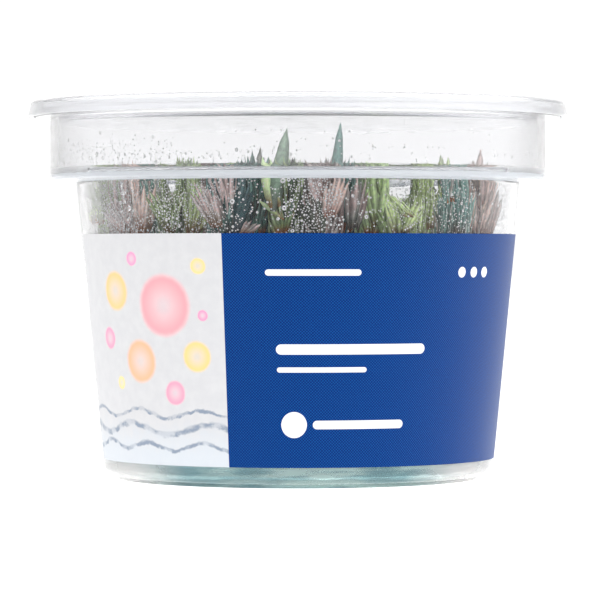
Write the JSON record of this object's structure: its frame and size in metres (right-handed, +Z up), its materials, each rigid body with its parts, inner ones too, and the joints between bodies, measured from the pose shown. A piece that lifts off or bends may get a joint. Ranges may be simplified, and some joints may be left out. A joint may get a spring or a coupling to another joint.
{
  "type": "rotala in a lidded culture cup",
  "caption": "Fine-leaved aquarium stem plant in whorled shoots, rooted in clear jelly inside a tapered clear cup with a clip-on lid and a wrap label.",
  "frame": {"origin": "middle of the foot ring that the cup stands on", "axes": "+Z up along the cup's axis; -Y towards the front of the label; +X to its right"},
  "size_m": [0.1, 0.1, 0.0695],
  "materials": {
    "cup_plastic": "gloss",
    "lid_plastic": "satin",
    "label_print": "satin",
    "jelly": "gloss",
    "leaf_olive": "satin",
    "leaf_lime": "satin",
    "leaf_teal": "satin",
    "leaf_mauve": "satin"
  },
  "bodies": {
    "root": {"cup": "cup_plastic", "lid": "lid_plastic", "label": "label_print", "jelly": "jelly", "stem_01": "leaf_lime", "stem_02": "leaf_teal", "stem_03": "leaf_olive", "stem_04": "leaf_teal", "stem_05": "leaf_olive", "stem_06": "leaf_lime", "stem_07": "leaf_teal", "stem_08": "leaf_olive", "stem_09": "leaf_olive", "stem_10": "leaf_teal", "stem_11": "leaf_olive", "stem_12": "leaf_teal", "stem_13": "leaf_mauve", "stem_14": "leaf_teal", "stem_15": "leaf_mauve", "stem_16": "leaf_olive", "stem_17": "leaf_mauve", "stem_18": "leaf_lime", "stem_19": "leaf_teal", "stem_20": "leaf_teal", "stem_21": "leaf_teal", "stem_22": "leaf_olive", "stem_23": "leaf_mauve", "stem_24": "leaf_teal", "stem_25": "leaf_olive", "stem_26": "leaf_mauve", "stem_27": "leaf_olive", "stem_28": "leaf_lime", "stem_29": "leaf_mauve", "stem_30": "leaf_lime", "stem_31": "leaf_lime", "stem_32": "leaf_teal", "stem_33": "leaf_olive", "stem_34": "leaf_mauve", "stem_35": "leaf_mauve", "stem_36": "leaf_lime"}
  },
  "joints": []
}
